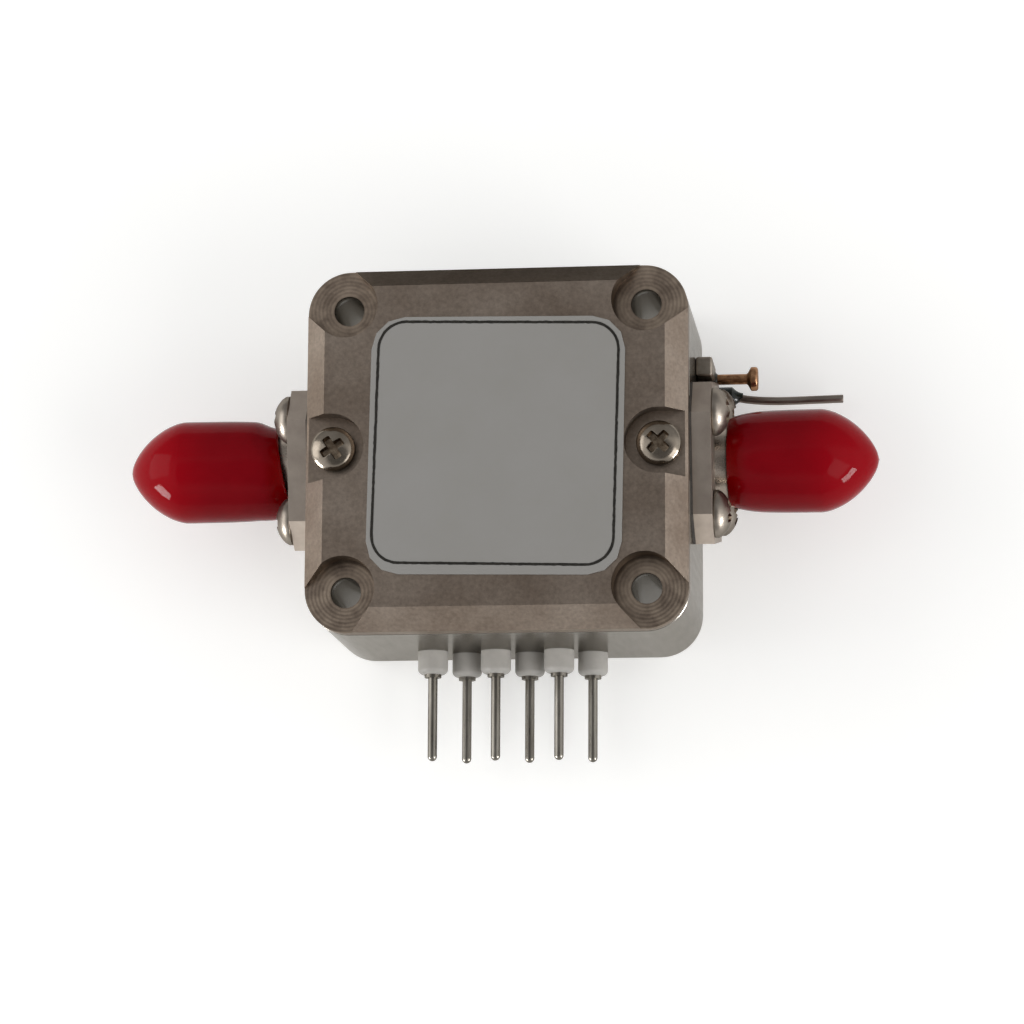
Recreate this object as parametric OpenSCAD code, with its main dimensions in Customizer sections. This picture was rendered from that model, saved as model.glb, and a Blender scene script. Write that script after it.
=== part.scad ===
// Digital step attenuator module: a milled and plated housing with a screwed lid, a coaxial jack
// on each end wall, six control pins along the front and the supply terminals beside the right jack.
// X runs from jack to jack, Y away from the control pins and Z up through the lid.
// The origin is the centre of the housing's flat underside. Sizes are in millimetres.

/* [Housing] */
// Length of the housing between the two jack walls
housing_x = 30; // [29:0.1:34]
// Depth of the housing from the pin wall to the rear wall
housing_y = 28.8; // [28:0.1:33]
// Height of the housing up to the seat of the lid
housing_z = 13.7; // [13.5:0.1:17]
// Radius of the upright corners
corner_r = 3.4; // [2.4:0.1:4]
// Thickness of the side walls
wall = 2.5; // [2.4:0.1:3.2]
// Thickness of the floor
floor_t = 1.2; // [0.8:0.1:1.4]
// Width of the ledge that carries the circuit board
ledge_w = 1.3; // [0.8:0.1:1.8]
// Broken edge on each side of the seam between housing and lid
edge_break = 0.15; // [0.05:0.05:0.3]

/* [Corner holes] */
// Distance of each corner hole from the jack walls
hole_inset_x = 3.25; // [3:0.05:3.6]
// Distance of each corner hole from the front and rear walls
hole_inset_y = 3.15; // [3:0.05:3.6]
// Diameter of the corner holes for the fixing screws
hole_d = 2.4; // [1.8:0.1:2.8]
// Wall left round each corner hole inside the housing
post_wall = 1.6; // [1.2:0.1:2]
// Width of the pocket milled in the lid round each corner hole
pocket_w = 5.15; // [4.6:0.05:5.8]
// Depth of the corner pockets below the top of the lid
pocket_depth = 2.05; // [1.8:0.05:2.4]

/* [Lid] */
// Thickness of the lid
lid_t = 3.3; // [3:0.1:4.5]
// Width of the chamfer round the top of the lid
chamfer_w = 1.65; // [0.8:0.05:2]
// Depth of the chamfer round the top of the lid
chamfer_d = 1.9; // [1:0.05:2.4]
// Depth of the step under the lid that drops into the housing
register_t = 0.6; // [0.3:0.1:1]
// Distance of the lid screws from the jack walls
lid_screw_inset = 2.25; // [2:0.05:2.6]
// Wall left round each lid screw inside the housing
boss_wall = 1.4; // [1.2:0.1:1.6]
// Diameter of the lid screws
lid_screw_d = 2; // [1.6:0.1:2.2]
// Length of the lid screws in the housing
lid_screw_grip = 2.6; // [2:0.1:3]
// Head diameter of the lid screws
lid_head_d = 3.45; // [3:0.05:3.8]
// Head height of the lid screws
lid_head_h = 1.25; // [1:0.05:1.5]
// Width of the scallop milled round each lid screw
scallop_w = 5.2; // [4.4:0.1:5.6]
// Depth of the scallops below the top of the lid
scallop_depth = 1.65; // [1.3:0.05:1.8]

/* [Label] */
// Width of the label
label_x = 19.9; // [16:0.1:20]
// Height of the label
label_y = 20.4; // [16:0.1:20.6]
// Corner radius of the label
label_r = 2.6; // [2.4:0.1:4]
// Thickness of the label
label_t = 0.1; // [0.05:0.05:0.2]
// Offset of the label to the right of the middle
label_shift_x = 0.2; // [-0.3:0.05:0.3]
// Offset of the label to the rear of the middle
label_shift_y = -0.15; // [-0.3:0.05:0.3]
// Turn of the label, stuck on by hand, in degrees
label_turn = -1; // [-1.5:0.5:1.5]

/* [Jacks] */
// Height of the jack axis above the underside
axis_z = 7.6; // [7.4:0.1:8.2]
// Side of the square jack flange
flange = 12.7; // [12.4:0.1:13.2]
// Thickness of the flange
flange_t = 1.5; // [1.2:0.1:2]
// Distance from each flange screw to the clipped corner beside it
flange_edge = 1.63; // [1.5:0.01:1.9]
// Turn of the flange about the jack axis, in degrees
flange_turn = 11.5; // [8:0.5:14]
// Distance between neighbouring flange screws
flange_pitch = 8; // [7.8:0.1:8.2]
// Diameter of the flange screws
flange_screw_d = 2; // [1.6:0.1:2.2]
// Length of the flange screws in the housing wall
flange_screw_grip = 2.2; // [1.8:0.1:2.4]
// Head diameter of the flange screws
flange_head_d = 3.8; // [3.4:0.1:4]
// Head height of the flange screws
flange_head_h = 1.4; // [1.1:0.1:1.6]
// Thickness of the pad between flange and wall
pad_t = 0.2; // [0.1:0.05:0.5]
// Length of the jack in front of its flange
jack_len = 9.5; // [9:0.1:10]
// Outer diameter of the jack thread
thread_d = 6.3; // [6.2:0.05:6.35]
// Diameter of the plain neck behind the thread
neck_d = 5.6; // [5.2:0.1:6]
// Length of the cone at each end of the thread
thread_lead = 0.4; // [0.2:0.05:0.6]
// Length of the plain neck behind the thread
neck_len = 1.6; // [1:0.1:2.4]
// Diameter of the open mouth of the jack
mouth_d = 4.6; // [4.4:0.05:4.8]
// Depth of the open mouth of the jack
mouth_depth = 1.9; // [1.5:0.1:2.2]
// Diameter of the dielectric
dielectric_d = 4.1; // [3.8:0.1:4.2]
// Diameter of the centre contact
contact_d = 1.27; // [1.2:0.01:1.3]
// Diameter of the hole for the mating pin in the centre contact
contact_bore_d = 0.94; // [0.92:0.01:1]
// Depth of the hole for the mating pin
contact_bore_depth = 2.6; // [2:0.1:3]
// Width of the cross slots in the socket end of the centre contact
contact_slot_w = 0.2; // [0.15:0.05:0.3]
// Length of those slots
contact_slot_l = 1.8; // [1.2:0.1:2]
// Length of the centre contact on the circuit board
contact_tail = 2; // [1.5:0.1:2.5]

/* [Dust caps] */
// Length of a dust cap
cap_len = 12.35; // [12:0.05:13]
// Outer diameter of a dust cap
cap_d = 8.2; // [7.8:0.1:8.6]
// Length of the tapered closed end
nose_len = 3.6; // [2.8:0.1:3.8]
// Fullness of the closed end: 1 is a cone, 2 is an ellipse
nose_power = 1.5; // [1.2:0.1:2]
// Thickness of the tip beyond the bore
cap_tip_wall = 1; // [0.8:0.1:1.4]
// Length of the narrow rim at the mouth
rim_len = 0.8; // [0.7:0.1:1.2]
// Length over which the rim swells to the full diameter
swell_len = 1.6; // [1:0.1:2.4]
// Gap between the left cap and its flange
left_cap_gap = 1.2; // [0.75:0.05:1.5]
// Gap between the right cap and its flange
right_cap_gap = 0.75; // [0.7:0.05:1.5]

/* [Control pins] */
// Distance between neighbouring pins along X
pin_pitch = 2.54; // [2.4:0.01:2.6]
// Diameter of a pin
pin_d = 0.75; // [0.6:0.05:0.9]
// Diameter of the stem of a pin inside its insulator
stem_d = 0.4; // [0.3:0.05:0.6]
// Free length of a pin outside its insulator
pin_free = 6.95; // [4:0.05:9]
// Height of the upper row of pins, the first, third and fifth
upper_row_z = 4.5; // [4.4:0.1:4.7]
// Height of the lower row of pins, the second, fourth and sixth
lower_row_z = 2.8; // [2.7:0.1:3]
// Diameter of a pin insulator
insulator_d = 2.4; // [2:0.1:2.6]
// Length of an insulator outside the wall
insulator_out = 1.85; // [1.2:0.05:2.4]
// Rounding of the outer end of an insulator
insulator_round = 0.45; // [0.2:0.05:0.6]
// Length of a pin inside the cavity
pin_tail = 1.6; // [1.4:0.1:2]
// Diameter of the collar on each pin
collar_d = 1.35; // [1:0.05:1.6]
// Thickness of the collar on each pin
collar_t = 0.25; // [0.15:0.05:0.4]

/* [Supply terminals] */
// Diameter of the supply lead
lead_d = 0.66; // [0.5:0.02:0.8]
// Free length of the supply lead beyond its bead
lead_free = 8.1; // [4:0.1:10]
// Diameter of the bead that seals the supply lead
bead_d = 1.7; // [1.4:0.1:1.8]
// Length of the straight part of the bead outside the wall
bead_out = 2.6; // [1.5:0.1:3]
// Length of the cone at the end of the bead
bead_cone = 0.85; // [0.5:0.05:1.2]
// Gap between the bead and the clipped flange corner
bead_gap = 0.45; // [0.3:0.05:0.5]
// Shift of the bead along the clipped flange corner
bead_shift = 1.15; // [1:0.05:1.2]
// Width of the ground terminal block
block_w = 1.6; // [1.3:0.1:2]
// Height of the ground terminal block
block_h = 4.1; // [2.5:0.1:4.6]
// Thickness of the ground terminal block
block_t = 1.35; // [1:0.05:1.8]
// Gap between the block and the flange
block_gap = 0.15; // [0.1:0.05:0.4]
// Height of the lower edge of the block above the underside
block_z = 3.2; // [3.1:0.1:4]
// Distance of the turret terminal above the lower edge of the block
turret_rise = 0.8; // [0.7:0.1:1.6]
// Diameter of the turret terminal's shank
turret_d = 0.84; // [0.7:0.02:1]
// Length of the turret terminal inside the block
turret_sink = 0.9; // [0.6:0.1:1]
// Distance of the turret terminal from the block's edge beside the flange
turret_inset = 0.64; // [0.6:0.02:0.9]
// Length of the turret terminal outside the block
turret_len = 3.45; // [2.5:0.05:4.5]
// Diameter of the turret terminal's head
turret_head_d = 1.95; // [1.5:0.05:2.2]
// Length of the turret terminal's head
turret_head_len = 0.9; // [0.6:0.05:1.2]
// Length of the cone under the turret terminal's head
turret_cone = 0.5; // [0.3:0.05:0.55]
// Bevel round the end of the turret terminal's head
turret_bevel = 0.15; // [0.05:0.05:0.2]

/* [Circuit] */
// Thickness of the circuit board
board_t = 0.8; // [0.5:0.1:1]
// Distance of the board pillars from the middle along X
pillar_x = 7.6; // [7.2:0.1:7.8]
// Distance of the board pillars from the middle along Y
pillar_y = 7.2; // [6.8:0.1:7.4]
// Diameter of the board pillars
pillar_d = 3.6; // [3.2:0.1:3.8]
// Diameter of the board screws
board_screw_d = 1.6; // [1.4:0.1:1.8]
// Length of the board screws in their pillars
board_screw_grip = 2.4; // [1.5:0.1:3]
// Diameter of the wires that rise to the board
riser_d = 0.5; // [0.4:0.05:0.6]
// Gap between those wires and the ledge
riser_gap = 0.4; // [0.3:0.05:0.6]
// Side of the attenuator chip
chip_w = 4; // [3:0.1:5]
// Height of the attenuator chip
chip_h = 0.9; // [0.7:0.05:1.2]
// Length of a blocking capacitor
blocking_l = 1.6; // [1:0.1:2]
// Width and height of a blocking capacitor
blocking_w = 0.8; // [0.5:0.1:1]
// Gap between the chip and each blocking capacitor
blocking_gap = 1.2; // [0.6:0.1:1.6]
// Number of bypass capacitors behind the chip
bypass_count = 4; // [2:1:5]
// Distance between neighbouring bypass capacitors
bypass_pitch = 1.5; // [1:0.1:1.8]
// Length of a bypass capacitor
bypass_l = 1; // [0.8:0.1:1.2]
// Width and height of a bypass capacitor
bypass_w = 0.5; // [0.3:0.1:0.7]
// Gap between the chip and the bypass capacitors
bypass_gap = 0.8; // [0.5:0.1:1]
// Length of the regulator
regulator_l = 2.9; // [2:0.1:3.2]
// Width of the regulator
regulator_w = 1.6; // [1.2:0.1:1.8]
// Height of the regulator
regulator_h = 1.1; // [0.8:0.1:1.3]
// Gap between the bypass capacitors and the regulator
regulator_gap = 1.2; // [0.6:0.1:1.4]

/* [Hidden] */
$fn = 64;

// Clearances: still seats, screw holes, board edge and the cap on its thread
seat_gap = 0.02;
screw_gap = 0.1;
board_gap = 0.2;
cap_fit = 0.04;
rim_clear = 0.15;
// Cuts run this far past the face that they open
over = 1;

// Places on the housing and the lid
half_x = housing_x / 2;
half_y = housing_y / 2;
top_z = housing_z + lid_t;
hole_x = half_x - hole_inset_x;
hole_y = half_y - hole_inset_y;
lid_screw_x = half_x - lid_screw_inset;
scallop_z = top_z - scallop_depth;
post_r = hole_d / 2 + post_wall;
boss_r = lid_screw_d / 2 + boss_wall;

// Inner end of the bore for a jack, its screw holes and the clipped corners of its flange
boss_x = lid_screw_x - boss_r;
flange_hole_d = flange_screw_d + 2 * screw_gap;
clip_reach = flange_pitch / sqrt(2) + flange_edge;
flange_clip = flange - sqrt(2) * clip_reach;

// The circuit board lies just under the centre contacts
board_top = axis_z - contact_d / 2 - seat_gap;
ledge_z = board_top - board_t;
bypass_y = chip_w / 2 + bypass_gap;

// Control pins and their risers
pin_count = 6;
riser_y = -(half_y - wall - ledge_w) + riser_d / 2 + riser_gap;
insulator_end_y = -half_y - insulator_out;
function pin_x(i) = (i - (pin_count - 1) / 2) * pin_pitch;
function pin_z(i) = i % 2 == 0 ? upper_row_z : lower_row_z;

// The supply bead stands off the clipped corner of the right flange
clip_angle = flange_turn - 45;
bead_reach = clip_reach + bead_gap + bead_d / 2;
bead_y = bead_reach * cos(clip_angle) + bead_shift * sin(clip_angle);
bead_z = axis_z + bead_reach * sin(clip_angle) - bead_shift * cos(clip_angle);
lead_riser_x = half_x - wall - ledge_w - riser_d / 2 - riser_gap;

// The ground block stands beside the flange's rearmost corner
flange_reach_y = flange / 2 * cos(flange_turn) + (flange / 2 - flange_clip) * sin(flange_turn);
block_y = flange_reach_y + block_gap;
turret_y = block_y + turret_inset;
turret_z = block_z + turret_rise;

// Dust caps
cap_bore_r = thread_d / 2 + cap_fit;
screw_room_r = flange_pitch / sqrt(2) - flange_head_d / 2 - rim_clear;
cap_rim_r = min(screw_room_r, cap_d / 2);
cap_bore_len = jack_len - min(left_cap_gap, right_cap_gap) + rim_clear;
swell_steps = 4;
nose_steps = 14;

// Finishes
plated = [0.56, 0.53, 0.50];
plated_lid = [0.45, 0.41, 0.38];
steel = [0.66, 0.65, 0.62];
ptfe = [0.93, 0.92, 0.88];
red_vinyl = [0.60, 0.06, 0.10];
brass = [0.55, 0.38, 0.22];
board_green = [0.12, 0.33, 0.20];
black_epoxy = [0.10, 0.12, 0.11];
tan_ceramic = [0.62, 0.50, 0.36];

// Rectangle with round corners
module rounded_rect(x, y, r) {
    square([x - 2 * r, y], center = true);
    square([x, y - 2 * r], center = true);
    for (sx = [-1, 1], sy = [-1, 1])
        translate([sx * (x / 2 - r), sy * (y / 2 - r)])
            circle(r);
}

// Slab with round upright corners and a chamfer of width w and depth d round its top
module chamfered_slab(x, y, h, r, w, d) {
    linear_extrude(h - d)
        rounded_rect(x, y, r);
    translate([0, 0, h - d]) {
        rotate([90, 0, 0])
            linear_extrude(y - 2 * r, center = true)
                polygon([[-x / 2, 0], [x / 2, 0], [x / 2 - w, d], [w - x / 2, d]]);
        rotate([90, 0, 90])
            linear_extrude(x - 2 * r, center = true)
                polygon([[-y / 2, 0], [y / 2, 0], [y / 2 - w, d], [w - y / 2, d]]);
        for (sx = [-1, 1], sy = [-1, 1])
            translate([sx * (x / 2 - r), sy * (y / 2 - r), 0])
                cylinder(h = d, r1 = r, r2 = r - w);
    }
}

// The four corner holes
module at_corner_holes() {
    for (sx = [-1, 1], sy = [-1, 1])
        translate([sx * hole_x, sy * hole_y, 0])
            children();
}

// Outline of the cavity, set in from its walls, posts and screw bosses
module cavity_outline(inset) {
    difference() {
        square([housing_x - 2 * (wall + inset), housing_y - 2 * (wall + inset)], center = true);
        at_corner_holes() circle(post_r + inset);
        for (side = [-1, 1])
            translate([side * lid_screw_x, 0])
                circle(boss_r + inset);
    }
}

// Square flange outline with clipped corners, turned about the jack axis
module flange_outline() {
    rotate(flange_turn)
        intersection() {
            square(flange, center = true);
            rotate(45) square(2 * clip_reach, center = true);
        }
}

// Turns a shape drawn on Z to point along +X, with its own X along Y
module along_x() {
    rotate([90, 0, 90])
        children();
}

// Puts a jack piece, drawn along +Z from the housing wall, on the right or left wall
module on_wall(side) {
    mirror([side < 0 ? 1 : 0, 0, 0])
        translate([half_x, 0, axis_z])
            along_x()
                children();
}

// The four screw places of a flange
module at_flange_screws() {
    rotate(flange_turn)
        for (sx = [-1, 1], sy = [-1, 1])
            translate([sx * flange_pitch / 2, sy * flange_pitch / 2, 0])
                children();
}

// Pan head screw with a cross recess, head up, its seat at the origin
module pan_screw(head_d, head_h, shank_d, shank_len) {
    dome_r = head_d * 0.75;
    recess_w = head_d * 0.17;
    recess_l = head_d * 0.6;
    recess_h = head_h * 0.55;
    difference() {
        rotate_extrude()
            intersection() {
                square([head_d / 2, head_h]);
                translate([0, head_h - dome_r]) circle(dome_r);
            }
        for (turn = [0, 90])
            rotate(turn)
                translate([-recess_l / 2, -recess_w / 2, head_h - recess_h])
                    cube([recess_l, recess_w, recess_h + over]);
    }
    translate([0, 0, -shank_len])
        cylinder(h = shank_len, d = shank_d);
}

module housing() {
    color(plated)
        difference() {
            chamfered_slab(housing_x, housing_y, housing_z, corner_r, edge_break, edge_break);
            difference() {
                union() {
                    translate([0, 0, ledge_z])
                        linear_extrude(housing_z - ledge_z + over)
                            cavity_outline(0);
                    translate([0, 0, floor_t])
                        linear_extrude(ledge_z - floor_t + over)
                            cavity_outline(ledge_w);
                }
                for (sx = [-1, 1], sy = [-1, 1])
                    translate([sx * pillar_x, sy * pillar_y, 0])
                        difference() {
                            cylinder(h = ledge_z, d = pillar_d);
                            translate([0, 0, ledge_z - board_screw_grip - seat_gap])
                                cylinder(h = board_screw_grip + over, d = board_screw_d + 2 * seat_gap);
                        }
            }
            at_corner_holes()
                translate([0, 0, -over])
                    cylinder(h = housing_z + 2 * over, d = hole_d);
            for (side = [-1, 1])
                translate([side * lid_screw_x, 0, housing_z - lid_screw_grip - seat_gap])
                    cylinder(h = lid_screw_grip + over, d = lid_screw_d + 2 * seat_gap);
            for (side = [-1, 1])
                on_wall(side) {
                    translate([0, 0, boss_x - half_x - over])
                        cylinder(h = half_x - boss_x + 2 * over, d = dielectric_d + 2 * seat_gap);
                    at_flange_screws()
                        translate([0, 0, -flange_screw_grip - seat_gap])
                            cylinder(h = flange_screw_grip + over, d = flange_screw_d + 2 * seat_gap);
                }
            for (i = [0:pin_count - 1])
                translate([pin_x(i), -half_y - over, pin_z(i)])
                    rotate([-90, 0, 0])
                        cylinder(h = wall + ledge_w + 2 * over, d = insulator_d + 2 * seat_gap);
            translate([half_x - wall - ledge_w - over, bead_y, bead_z])
                along_x()
                    cylinder(h = wall + ledge_w + 2 * over, d = bead_d + 2 * seat_gap);
        }
}

module lid() {
    color(plated_lid)
        difference() {
            union() {
                translate([0, 0, housing_z])
                    intersection() {
                        chamfered_slab(housing_x, housing_y, lid_t, corner_r, chamfer_w, chamfer_d);
                        translate([0, 0, lid_t])
                            mirror([0, 0, 1])
                                chamfered_slab(housing_x, housing_y, lid_t, corner_r, edge_break, edge_break);
                    }
                translate([0, 0, housing_z - register_t])
                    linear_extrude(register_t + edge_break)
                        cavity_outline(board_gap);
            }
            for (sx = [-1, 1], sy = [-1, 1])
                translate([sx * hole_x, sy * hole_y, 0]) {
                    translate([0, 0, housing_z - over])
                        cylinder(h = lid_t + 2 * over, d = hole_d);
                    translate([0, 0, top_z - pocket_depth]) {
                        cylinder(h = pocket_depth + over, d = pocket_w);
                        rotate(atan2(sy, sx))
                            translate([0, -pocket_w / 2, 0])
                                cube([2 * corner_r + pocket_w, pocket_w, pocket_depth + over]);
                    }
                }
            for (side = [-1, 1])
                translate([side * lid_screw_x, 0, 0]) {
                    translate([0, 0, housing_z - over])
                        cylinder(h = lid_t + 2 * over, d = lid_screw_d + 2 * screw_gap);
                    translate([0, 0, scallop_z]) {
                        cylinder(h = scallop_depth + over, d = scallop_w);
                        translate([side > 0 ? 0 : -2 * lid_screw_inset, -scallop_w / 2, 0])
                            cube([2 * lid_screw_inset, scallop_w, scallop_depth + over]);
                    }
                }
        }
}

module lid_screws() {
    color(steel)
        for (side = [-1, 1])
            translate([side * lid_screw_x, 0, scallop_z])
                rotate(45 - side * 12)
                    pan_screw(lid_head_d, lid_head_h, lid_screw_d, scallop_z - housing_z + lid_screw_grip);
}

module label() {
    color(ptfe)
        translate([label_shift_x, label_shift_y, top_z])
            rotate(label_turn)
                linear_extrude(label_t)
                    rounded_rect(label_x, label_y, label_r);
}

// Jack body: flange, plain neck and threaded barrel in one turned and milled piece
module jack(side) {
    barrel = flange_t + jack_len;
    color(steel)
        on_wall(side)
            translate([0, 0, pad_t])
                difference() {
                    union() {
                        linear_extrude(flange_t)
                            flange_outline();
                        cylinder(h = flange_t + neck_len + thread_lead, d = neck_d);
                        translate([0, 0, flange_t])
                            rotate_extrude()
                                polygon([
                                    [0, neck_len], [neck_d / 2, neck_len],
                                    [thread_d / 2, neck_len + thread_lead],
                                    [thread_d / 2, jack_len - thread_lead],
                                    [thread_d / 2 - thread_lead, jack_len], [0, jack_len]
                                ]);
                    }
                    translate([0, 0, -over])
                        cylinder(h = barrel + 2 * over, d = dielectric_d + 2 * seat_gap);
                    translate([0, 0, barrel - mouth_depth])
                        cylinder(h = mouth_depth + over, d = mouth_d);
                    at_flange_screws()
                        translate([0, 0, -over])
                            cylinder(h = flange_t + 2 * over, d = flange_hole_d);
                }
}

// PTFE dielectric from the mouth of the jack back through the housing wall
module dielectric(side) {
    back = boss_x - half_x;
    front = pad_t + flange_t + jack_len - mouth_depth;
    color(ptfe)
        on_wall(side)
            translate([0, 0, back])
                difference() {
                    cylinder(h = front - back, d = dielectric_d);
                    translate([0, 0, -over])
                        cylinder(h = front - back + 2 * over, d = contact_d + 2 * seat_gap);
                }
}

// Centre contact: a socket for the mating pin in front, a tail on the circuit board behind
module contact(side) {
    back = boss_x - half_x - contact_tail;
    front = pad_t + flange_t + jack_len - mouth_depth;
    color(brass)
        on_wall(side)
            difference() {
                translate([0, 0, back])
                    cylinder(h = front - back, d = contact_d);
                translate([0, 0, front - contact_bore_depth])
                    cylinder(h = contact_bore_depth + over, d = contact_bore_d);
                for (turn = [0, 90])
                    rotate(turn)
                        translate([-contact_d, -contact_slot_w / 2, front - contact_slot_l])
                            cube([2 * contact_d, contact_slot_w, contact_slot_l + over]);
            }
}

module flange_pad(side) {
    color(plated)
        on_wall(side)
            linear_extrude(pad_t)
                difference() {
                    flange_outline();
                    circle(d = dielectric_d + 2 * seat_gap);
                    at_flange_screws() circle(d = flange_hole_d);
                }
}

module flange_screws(side) {
    color(steel)
        on_wall(side)
            translate([0, 0, pad_t + flange_t])
                at_flange_screws()
                    rotate(side * 20)
                        pan_screw(flange_head_d, flange_head_h, flange_screw_d,
                            pad_t + flange_t + flange_screw_grip);
}

// Half section of a dust cap, mouth at the bottom: narrow rim, swelling, barrel and tapered nose
function swell_point(t) = [
    cap_rim_r + (cap_d / 2 - cap_rim_r) * sin(90 * t),
    rim_len + t * swell_len
];
function nose_point(t) = [
    cap_d / 2 * pow(1 - pow(t, nose_power), 1 / nose_power),
    cap_len - nose_len + t * nose_len
];
module cap(side, gap) {
    bore_end = cap_len - cap_tip_wall;
    color(red_vinyl)
        on_wall(side)
            translate([0, 0, pad_t + flange_t + gap])
                difference() {
                    rotate_extrude()
                        polygon(concat(
                            [[0, 0], [cap_rim_r, 0]],
                            [for (i = [0:swell_steps]) swell_point(i / swell_steps)],
                            [for (i = [0:nose_steps]) nose_point(i / nose_steps)]
                        ));
                    translate([0, 0, -over])
                        cylinder(h = cap_bore_len + over, r = cap_bore_r);
                    translate([0, 0, cap_bore_len])
                        cylinder(h = bore_end - cap_bore_len, r1 = cap_bore_r, r2 = cap_bore_r / 4);
                }
}

module pin_insulator(i) {
    r = insulator_d / 2;
    length = insulator_out + wall + ledge_w;
    color(ptfe)
        translate([pin_x(i), insulator_end_y, pin_z(i)])
            rotate([-90, 0, 0])
                difference() {
                    rotate_extrude() {
                        translate([0, insulator_round]) square([r, length - insulator_round]);
                        square([r - insulator_round, length]);
                        translate([r - insulator_round, insulator_round]) circle(insulator_round);
                    }
                    translate([0, 0, -over])
                        cylinder(h = length + 2 * over, d = stem_d + 2 * seat_gap);
                }
}

// Control pin: a round free end, a collar against the insulator and a thinner stem through it
module control_pin(i) {
    inside = insulator_out + wall + ledge_w + pin_tail;
    color(steel)
        translate([pin_x(i), insulator_end_y, pin_z(i)]) {
            translate([0, pin_d / 2 - pin_free, 0])
                sphere(d = pin_d);
            rotate([90, 0, 0]) {
                cylinder(h = pin_free - pin_d / 2, d = pin_d);
                cylinder(h = collar_t, d = collar_d);
            }
            rotate([-90, 0, 0])
                cylinder(h = inside, d = stem_d);
        }
}

// Wires from the tails of the control pins up through the circuit board
module control_risers() {
    color(steel)
        for (i = [0:pin_count - 1])
            translate([pin_x(i), riser_y, pin_z(i) + stem_d / 2 + seat_gap])
                cylinder(h = board_top + riser_d - pin_z(i) - stem_d / 2, d = riser_d);
}

module ground_block() {
    color(plated)
        difference() {
            translate([half_x, block_y, block_z])
                cube([block_t, block_w, block_h]);
            translate([half_x + block_t - turret_sink - seat_gap, turret_y, turret_z])
                along_x()
                    cylinder(h = turret_sink + over, d = turret_d + 2 * seat_gap);
        }
}

// Turret terminal: a shank that flares into a double-cone head
module ground_turret() {
    shank_end = turret_sink + turret_len - turret_head_len;
    head_end = shank_end + turret_head_len;
    color(brass)
        translate([half_x + block_t - turret_sink, turret_y, turret_z])
            along_x()
                rotate_extrude()
                    polygon([
                        [0, 0], [turret_d / 2, 0], [turret_d / 2, shank_end],
                        [turret_head_d / 2, shank_end + turret_cone],
                        [turret_head_d / 2, head_end - turret_bevel],
                        [turret_head_d / 2 - turret_bevel, head_end], [0, head_end]
                    ]);
}

// Bead that seals the supply lead in the wall, ending in a cone
module supply_bead() {
    back = -wall - ledge_w;
    color(black_epoxy)
        translate([half_x, bead_y, bead_z])
            along_x()
                difference() {
                    rotate_extrude()
                        polygon([
                            [0, back], [bead_d / 2, back], [bead_d / 2, bead_out],
                            [lead_d / 2 + seat_gap, bead_out + bead_cone], [0, bead_out + bead_cone]
                        ]);
                    translate([0, 0, back - over])
                        cylinder(h = bead_out + bead_cone - back + 2 * over, d = lead_d + 2 * seat_gap);
                }
}

module supply_lead() {
    inside_x = lead_riser_x - riser_d;
    color(steel)
        translate([inside_x, bead_y, bead_z])
            along_x()
                cylinder(h = half_x + bead_out + bead_cone + lead_free - inside_x, d = lead_d);
}

module supply_riser() {
    foot_z = bead_z + lead_d / 2 + seat_gap;
    color(steel)
        translate([lead_riser_x, bead_y, foot_z])
            cylinder(h = board_top + riser_d - foot_z, d = riser_d);
}

module circuit_board() {
    color(board_green)
        translate([0, 0, ledge_z])
            linear_extrude(board_t)
                difference() {
                    cavity_outline(board_gap);
                    for (turn = [0, 180])
                        rotate(turn)
                            translate([boss_x - board_gap, -dielectric_d / 2 - board_gap])
                                square([2 * boss_r, dielectric_d + 2 * board_gap]);
                    for (sx = [-1, 1], sy = [-1, 1])
                        translate([sx * pillar_x, sy * pillar_y])
                            circle(d = board_screw_d + 2 * screw_gap);
                    for (i = [0:pin_count - 1])
                        translate([pin_x(i), riser_y])
                            circle(d = riser_d + 2 * screw_gap);
                    translate([lead_riser_x, bead_y])
                        circle(d = riser_d + 2 * screw_gap);
                }
}

module board_screws() {
    head_d = board_screw_d * 1.8;
    head_h = board_screw_d * 0.6;
    color(steel)
        for (sx = [-1, 1], sy = [-1, 1])
            translate([sx * pillar_x, sy * pillar_y, board_top])
                pan_screw(head_d, head_h, board_screw_d, board_t + board_screw_grip);
}

module attenuator_chip() {
    color(black_epoxy)
        translate([-chip_w / 2, -chip_w / 2, board_top])
            cube([chip_w, chip_w, chip_h]);
}

// One capacitor on each side of the chip, in line with the jacks
module blocking_capacitors() {
    color(tan_ceramic)
        for (turn = [0, 180])
            rotate(turn)
                translate([chip_w / 2 + blocking_gap, -blocking_w / 2, board_top])
                    cube([blocking_l, blocking_w, blocking_w]);
}

// Row of small capacitors behind the chip
module bypass_capacitors() {
    color(tan_ceramic)
        for (i = [0:bypass_count - 1])
            translate([(i - (bypass_count - 1) / 2) * bypass_pitch - bypass_w / 2, bypass_y, board_top])
                cube([bypass_w, bypass_l, bypass_w]);
}

module regulator() {
    color(black_epoxy)
        translate([-regulator_l / 2, bypass_y + bypass_l + regulator_gap, board_top])
            cube([regulator_l, regulator_w, regulator_h]);
}

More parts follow.
